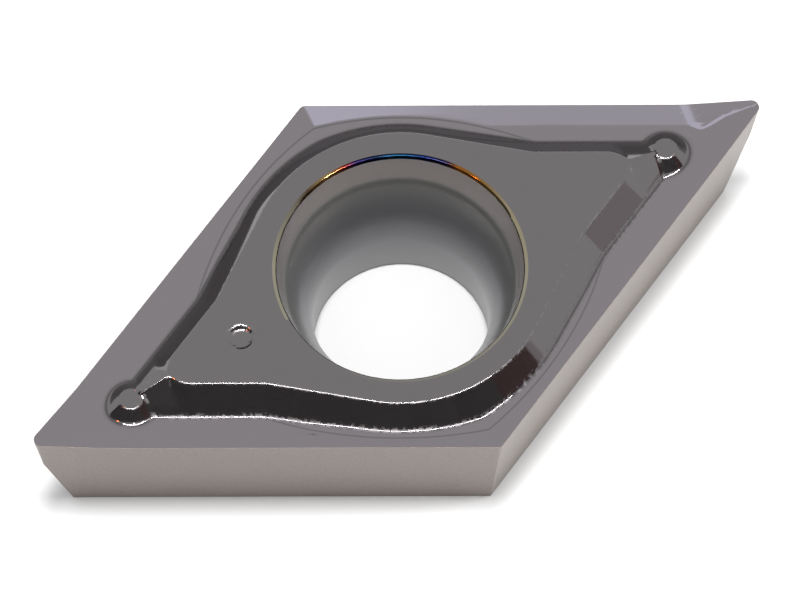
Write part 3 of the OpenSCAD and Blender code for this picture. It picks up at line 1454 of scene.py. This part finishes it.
@dataclass(frozen=True)
class Paper:
    """Matt paper, off-white, black or lit from behind: an even tone, hardly any gloss."""

    name: str
    colour: str
    glow: str = "#000000"
    glow_strength: float = 0.0
    roughness: float = 0.9
    gloss: float = 0.1

    def build(self) -> bpy.types.Material:
        """Builds the material.

        Returns:
            The node material.
        """
        material = bpy.data.materials.new(self.name)
        material.use_nodes = True
        shader = material.node_tree.nodes["Principled BSDF"]
        shader.inputs["Base Color"].default_value = linear(self.colour)
        shader.inputs["Roughness"].default_value = self.roughness
        shader.inputs["Specular IOR Level"].default_value = self.gloss
        shader.inputs["Emission Color"].default_value = linear(self.glow)
        shader.inputs["Emission Strength"].default_value = self.glow_strength
        return material


def towards(azimuth: float, elevation: float) -> Vector:
    """Unit vector from the part, for an azimuth from -Y and an elevation in degrees."""
    a, e = math.radians(azimuth), math.radians(elevation)
    return Vector((math.sin(a) * math.cos(e), -math.cos(a) * math.cos(e), math.sin(e)))


def flat_sheet(name: str, width: float, height: float, paper: Paper) -> bpy.types.Object:
    """Makes a flat sheet of paper round the origin.

    Args:
        name: Name of the sheet.
        width: Width along X.
        height: Height along Y.
        paper: What it is made of.

    Returns:
        The sheet, which is in the scene.
    """
    w, h = width / 2, height / 2
    mesh = bpy.data.meshes.new(name)
    mesh.from_pydata([(-w, -h, 0), (w, -h, 0), (w, h, 0), (-w, h, 0)], [], [(0, 1, 2, 3)])
    mesh.materials.append(paper.build())
    sheet = bpy.data.objects.new(name, mesh)
    bpy.context.scene.collection.objects.link(sheet)
    return sheet


@dataclass(frozen=True)
class Card:
    """Matt card that only the part's reflections see, and that faces the part.

    Azimuth and elevation are its direction from the part in degrees, from -Y and
    from the table. Its distance, width and height are in metres.
    """

    name: str
    azimuth: float
    elevation: float
    width: float
    height: float
    paper: Paper
    distance: float = 0.4

    def build(self) -> None:
        """Adds the card to the scene."""
        card = flat_sheet(self.name, self.width, self.height, self.paper)
        card.location = towards(self.azimuth, self.elevation) * self.distance
        card.rotation_euler = card.location.to_track_quat("Z", "Y").to_euler()
        card.visible_camera = False
        card.visible_shadow = False
        card.visible_diffuse = False


@dataclass(frozen=True)
class Lamp:
    """Soft light whose long axis runs between two ends and which faces the part.

    The ends are given in metres in the camera's own plan: to its right, away from
    it and up. A brightness of 1 is the white of the picture. Reflections show a
    mirrored lamp only, and the table takes light only from one that lights it.
    """

    name: str
    start: tuple[float, float, float]
    end: tuple[float, float, float]
    width: float
    brightness: float
    colour: str = "#FFFFFF"
    mirrored: bool = True
    lights_table: bool = True

    def build(self, azimuth: float) -> None:
        """Adds the light to the scene.

        Args:
            azimuth: Direction of the camera, in degrees from -Y.
        """
        turn = math.radians(azimuth)
        right = Vector((math.cos(turn), math.sin(turn), 0))
        away = Vector((-math.sin(turn), math.cos(turn), 0))
        ends = [right * p[0] + away * p[1] + Vector((0, 0, p[2])) for p in (self.start, self.end)]
        middle = (ends[0] + ends[1]) / 2
        back = middle.normalized()
        span = ends[1] - ends[0]
        along = (span - back * span.dot(back)).normalized()
        data = bpy.data.lights.new(self.name, "AREA")
        data.shape = "RECTANGLE"
        data.size, data.size_y = span.length, self.width
        data.energy = self.brightness * math.pi * span.length * self.width
        data.color = linear(self.colour)[:3]
        light = bpy.data.objects.new(self.name, data)
        axes = Matrix((along, back.cross(along), back)).transposed().to_4x4()
        light.matrix_world = Matrix.Translation(middle) @ axes
        light.visible_glossy = self.mirrored
        light.visible_diffuse = self.lights_table
        bpy.context.scene.collection.objects.link(light)


@dataclass
class Studio:
    """White table in a white tent, with lights, cards and the photograph's camera."""

    # Camera: angles in degrees, distance and target in mm, focal length in pixels
    azimuth: float = -26.7005
    elevation: float = 63.4631
    roll: float = -0.9059
    distance: float = 190.5956
    target: tuple[float, float, float] = (0.070913, 0.179704, 2.0)
    focal_px: float = 7642.07
    sensor: float = 36.0
    clip: tuple[float, float] = (0.001, 20.0)
    # Table, which lies a hair under the insert, and brightness of the tent
    table_size: float = 4.0
    table_drop: float = 0.00001
    table_tone: str = "#BCBCBC"
    tent: float = 1.08
    # Dark flags in a row round the part, of which the last is a little warmer
    flags: int = 7
    flag_start: float = -103.3
    flag_step: float = 23.4
    flag_elevation: float = 23.5
    flag_size: tuple[float, float] = (0.166, 0.348)
    flag_tone: str = "#585656"
    last_flag_tone: str = "#685656"
    grey_card: Card = Card(
        "grey_flag", 50.8, 10.0, 0.026, 0.14,
        Paper("backlit_grey_paper", "#000000", "#E7DEE0", 1.0),
    )
    lamps: tuple[Lamp, ...] = (
        Lamp(
            "strip_over_camera", (-0.226, -0.225, 0.5), (0.32, -0.170, 0.5), 0.014, 150.0,
            lights_table=False,
        ),
        Lamp("soft_box_overhead", (-0.15, -0.042, 0.5), (0.0, -0.042, 0.5), 0.07, 1.05, "#E4E6FF"),
        Lamp("soft_box_end", (0.0, -0.042, 0.5), (0.05, -0.042, 0.5), 0.07, 0.4, "#E4E6FF"),
        Lamp(
            "table_fill", (-0.045, -0.023, 0.5), (0.045, -0.023, 0.5), 0.09, 145.0,
            mirrored=False,
        ),
        Lamp("side_fill", (0.45, -0.05, 0.18), (0.45, 0.15, 0.18), 0.1, 34.0, mirrored=False),
        Lamp(
            "small_warm_lamp", (-0.187, -0.098, 0.22), (-0.171, -0.098, 0.22), 0.016, 90.0,
            "#FF8030", lights_table=False,
        ),
        Lamp(
            "small_lamp", (0.020, -0.167, 0.248), (0.034, -0.167, 0.248), 0.014, 90.0,
            lights_table=False,
        ),
    )

    def add_camera(self) -> None:
        """Adds the camera and makes it the scene's own."""
        data = bpy.data.cameras.new("camera")
        data.sensor_fit = "HORIZONTAL"
        data.sensor_width = self.sensor
        data.lens = self.sensor * self.focal_px / IMAGE_WIDTH
        data.clip_start, data.clip_end = self.clip
        camera = bpy.data.objects.new("camera", data)
        back = towards(self.azimuth, self.elevation)
        right = (-back).cross(Vector((0, 0, 1))).normalized()
        up = right.cross(-back)
        roll = math.radians(self.roll)
        side = right * math.cos(roll) + up * math.sin(roll)
        above = up * math.cos(roll) - right * math.sin(roll)
        turn = Matrix((side, above, back)).transposed().to_4x4()
        place = (Vector(self.target) + back * self.distance) * METRES
        camera.matrix_world = Matrix.Translation(place) @ turn
        bpy.context.scene.collection.objects.link(camera)
        bpy.context.scene.camera = camera

    def add_table(self) -> None:
        """Adds the table that the insert lies on."""
        paper = Paper("matt_white_paper", self.table_tone)
        table = flat_sheet("table", self.table_size, self.table_size, paper)
        table.location.z = -self.table_drop

    def add_cards(self) -> None:
        """Adds the dark flags and the grey card."""
        for k in range(self.flags):
            tone = self.last_flag_tone if k == self.flags - 1 else self.flag_tone
            azimuth = self.flag_start + self.flag_step * k
            paper = Paper("matt_black_card", tone)
            Card(f"dark_flag_{k}", azimuth, self.flag_elevation, *self.flag_size, paper).build()
        self.grey_card.build()

    def build(self) -> None:
        """Builds the table, lights, cards, world and camera."""
        scene = bpy.context.scene
        scene.view_settings.view_transform = "Standard"
        world = bpy.data.worlds.new("studio")
        world.use_nodes = True
        background = world.node_tree.nodes["Background"]
        background.inputs["Color"].default_value = linear("#FFFFFF")
        background.inputs["Strength"].default_value = self.tent
        scene.world = world
        self.add_table()
        self.add_camera()
        for lamp in self.lamps:
            lamp.build(self.azimuth)
        self.add_cards()


def main() -> None:
    """Builds the scene."""
    logging.basicConfig(level=logging.INFO, format="%(message)s")
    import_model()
    Studio().build()
    body = InsertBody().build()
    LOG.info("%s: %d points, %d faces", body.name, len(body.data.vertices), len(body.data.polygons))
    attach(body, "root")
    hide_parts("insert")


if __name__ == "__main__":
    main()
